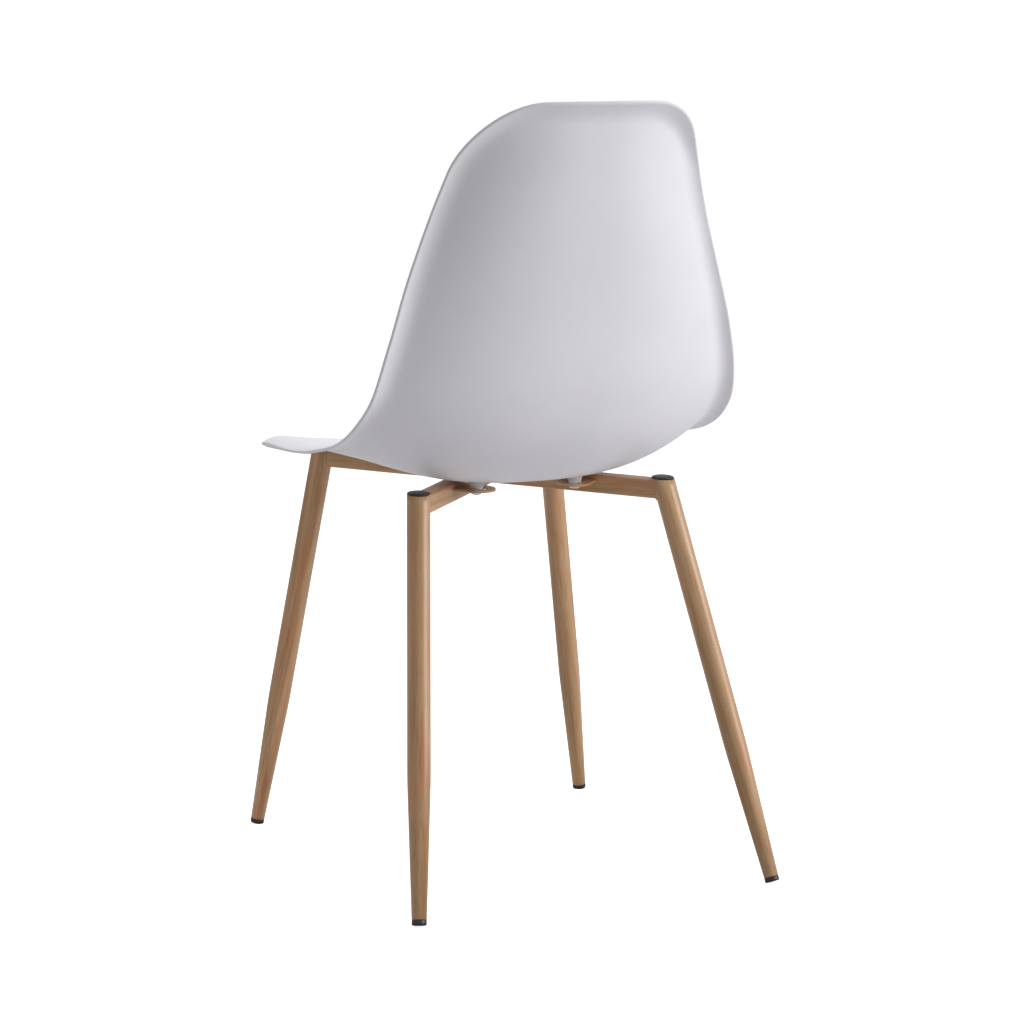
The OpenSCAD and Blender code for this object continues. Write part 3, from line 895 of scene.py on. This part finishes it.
def screw_mesh(corner):
    """Button head screw with a hexagon socket."""
    low, high, head_r, _ = node_span("mounting_screws", corner)
    spring_low = node_span("spring_washers", corner)[0]
    head_h = spring_low - low
    shank_r = 3 * MM
    socket_r = 2.4 * MM
    segments = 96
    outline = [(0, high), (shank_r - 0.5 * MM, high), (shank_r, high - 0.5 * MM),
               (shank_r, spring_low), (head_r - 0.15 * MM, spring_low),
               (head_r, spring_low - 0.15 * MM), (head_r, spring_low - 0.45 * MM)]
    flat_r = head_r * 0.60
    for a in np.linspace(0.12, 1, 12) * math.pi / 2:
        radius = flat_r + (head_r - flat_r) * math.cos(a)
        outline.append((radius, spring_low - 0.45 * MM - (head_h - 0.45 * MM) * math.sin(a)))
    points, faces = lathe(outline, segments)
    inner = [(socket_r + 0.25 * MM, 0.0), (socket_r, 0.15 * MM), (socket_r, head_h * 0.6),
             (0.0, head_h * 0.6 + 0.9 * MM)]
    last = len(points) - segments
    for radius, depth in inner:
        start = len(points)
        for k in range(segments):
            turn = 2 * math.pi * k / segments
            wedge = (turn % (math.pi / 3)) - math.pi / 6
            hexagon = radius * math.cos(math.pi / 6) / math.cos(wedge)
            points.append((hexagon * math.cos(turn), hexagon * math.sin(turn), low + depth))
        for k in range(segments):
            n = (k + 1) % segments
            faces.append([last + k, last + n, start + n, start + k])
        last = start
    return to_world(fixing_frame(corner), points), faces


def insert_mesh(corner):
    """Brass insert with a knurled band round each half."""
    low, high, outer, inner = node_span("threaded_inserts", corner)
    segments, ridges = 144, 36
    length = high - low
    levels = []
    for start, end in ((0.04, 0.44), (0.56, 0.96)):
        levels += [(start, 0.0), (start + 0.02, 1.0), (end - 0.02, 1.0), (end, 0.0)]
    points = []
    rings = [(inner + 0.25 * MM, 0.0, 0.0), (outer - 0.4 * MM, 0.0, 0.0)]
    rings += [(outer - 0.3 * MM, share, knurl) for share, knurl in levels]
    rings += [(outer - 0.4 * MM, 1.0, 0.0), (inner + 0.25 * MM, 1.0, 0.0),
              (inner, 0.975, 0.0), (inner, 0.025, 0.0)]
    for radius, share, knurl in rings:
        for k in range(segments):
            turn = 2 * math.pi * k / segments
            ridge = knurl * 0.28 * MM * (0.5 + 0.5 * math.cos(ridges * turn))
            here = radius + ridge
            points.append((here * math.cos(turn), here * math.sin(turn), low + share * length))
    faces = []
    for r in range(len(rings)):
        a, b = r * segments, ((r + 1) % len(rings)) * segments
        for k in range(segments):
            n = (k + 1) % segments
            faces.append([a + k, a + n, b + n, b + k])
    return to_world(fixing_frame(corner), points), faces


def plain_ring(node, corner, soft):
    low, high, outer, inner = node_span(node, corner)
    outline = rounded([(inner, low), (outer, low), (outer, high), (inner, high)], soft)
    points, faces = lathe(outline, 96)
    return to_world(fixing_frame(corner), points), faces


def add_fixings():
    sets = (
        ("screws", screw_mesh, ZINC, "zinc_hardware", "mounting_screws"),
        ("split_washers", spring_ring, ZINC, "zinc_hardware", "spring_washers"),
        ("washers", lambda c: plain_ring("flat_washers", c, 0.25 * MM),
         ZINC, "zinc_hardware", "flat_washers"),
        ("inserts", insert_mesh, BRASS, "brass_inserts", "threaded_inserts"),
    )
    for name, make, material, slot, node in sets:
        points, faces = join(*[make(corner) for corner in CORNERS])
        piece = new_piece(name, points, faces, material, slot, node)
        tidy(piece)
        bevel_shading(piece)


add_fixings()


# ---------- Bars, tabs and welds, which keep their CAD shapes ----------

def bar_line(corner):
    """Unit directions out along a corner's bar and across it."""
    opposite = {"front_left": "rear_right", "rear_right": "front_left",
                "front_right": "rear_left", "rear_left": "front_right"}[corner]
    out = LEGS[corner][1] - LEGS[opposite][1]
    out /= np.linalg.norm(out)
    return out, np.cross(UP, out)


BAR_CORNER_R = 2 * MM
BEAD_R = 1.35 * MM
RIPPLE_R = 0.14 * MM
RIPPLE_TURN = 1.9


def weld_mesh(corner):
    """A rippled bead along both sides and the underside of a bar, where it meets its leg."""
    low, high = LEGS[corner]
    axis = (high - low) / np.linalg.norm(high - low)
    out, across = bar_line(corner)
    leg_r = leg_radii(corner)[1]
    bar = node_points("long_cross_bar")
    level = bar @ UP - TOP_PLANE
    top, bottom = float(level.max()), float(level.min())
    half = (top - bottom) / 2
    side = [(half, z) for z in np.linspace(top - 1.2 * MM, bottom + BAR_CORNER_R, 40)]
    turn = [(half - BAR_CORNER_R * (1 - math.cos(a)), bottom + BAR_CORNER_R * (1 - math.sin(a)))
            for a in np.linspace(0, math.pi / 2, 9)[1:-1]]
    under = [(y, bottom) for y in np.linspace(half - BAR_CORNER_R, 0, 20)]
    one_side = side + turn + under
    path = one_side + [(-y, z) for y, z in one_side[-2::-1]]
    centres = []
    way = out - axis * (out @ axis)
    for y, z in path:
        start = high + across * y + UP * z
        # Where the bar is wider than the leg, the bead comes in until it lies on the leg.
        for _ in range(60):
            gap = start - high - axis * ((start - high) @ axis)
            a, b, c = way @ way, 2 * gap @ way, gap @ gap - leg_r ** 2
            if b * b - 4 * a * c > 0.8 * a * leg_r ** 2:
                break
            start -= across * math.copysign(0.1 * MM, y)
        x = (-b - math.sqrt(max(b * b - 4 * a * c, 0))) / (2 * a)
        centres.append(start + out * x)
    centres = np.array(centres)
    run = np.gradient(centres, axis=0)
    run /= np.linalg.norm(run, axis=1)[:, None]
    sides = 20
    points, faces = [], []
    for k, (centre, along) in enumerate(zip(centres, run)):
        first = np.cross(along, out)
        first /= np.linalg.norm(first)
        second = np.cross(along, first)
        end = min(1.0, 0.35 + 0.25 * min(k, len(centres) - 1 - k))
        radius = (BEAD_R + RIPPLE_R * math.sin(RIPPLE_TURN * k)) * end
        for i in range(sides):
            angle = 2 * math.pi * i / sides
            points.append(centre + (first * math.cos(angle) + second * math.sin(angle)) * radius)
    for k in range(len(centres) - 1):
        for i in range(sides):
            j = (i + 1) % sides
            faces.append([k * sides + i, k * sides + j, (k + 1) * sides + j, (k + 1) * sides + i])
    faces.append(list(range(sides)))
    faces.append([(len(centres) - 1) * sides + i for i in range(sides)])
    return points, faces


def add_leg_welds():
    points, faces = join(*[weld_mesh(corner) for corner in CORNERS])
    piece = new_piece("leg_weld_beads", points, faces, BAR_FILM[1], "wood_film_steel",
                      "leg_welds")
    tidy(piece)


def add_bevel(node, width):
    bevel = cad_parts[node].modifiers.new("soft_edges", "BEVEL")
    bevel.width = width
    bevel.segments = 3
    bevel.limit_method = "ANGLE"
    bevel.angle_limit = math.radians(40)
    bevel.harden_normals = False


def diagonal_turn(sign):
    """Rotation whose z runs along a bar: 1 for front right to rear left, -1 the other."""
    return axis_frame((0, 0, 0), Vector((sign, 1, 0))).to_euler()


def dress(node, material, bevel=None):
    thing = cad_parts[node]
    thing.data.materials.clear()
    thing.data.materials.append(material)
    if bevel:
        add_bevel(node, bevel)


BAR_FILM = {
    1: wood_film("wood_film_bar_rising", (0, 0, 0), tuple(diagonal_turn(1)), (0.11, 0.52, 0.3)),
    -1: wood_film("wood_film_bar_long", (0, 0, 0), tuple(diagonal_turn(-1)), (0.81, 0.22, 0.7)),
}
dress("long_cross_bar", BAR_FILM[-1])
dress("half_bar_rear", BAR_FILM[1])
dress("half_bar_front", BAR_FILM[1])
add_leg_welds()
dress("crossing_welds", BAR_FILM[1])
for tab_corner in CORNERS:
    same = tab_corner in ("rear_left", "front_right")
    dress("tab_" + tab_corner, BAR_FILM[1 if same else -1], bevel=0.4 * MM)
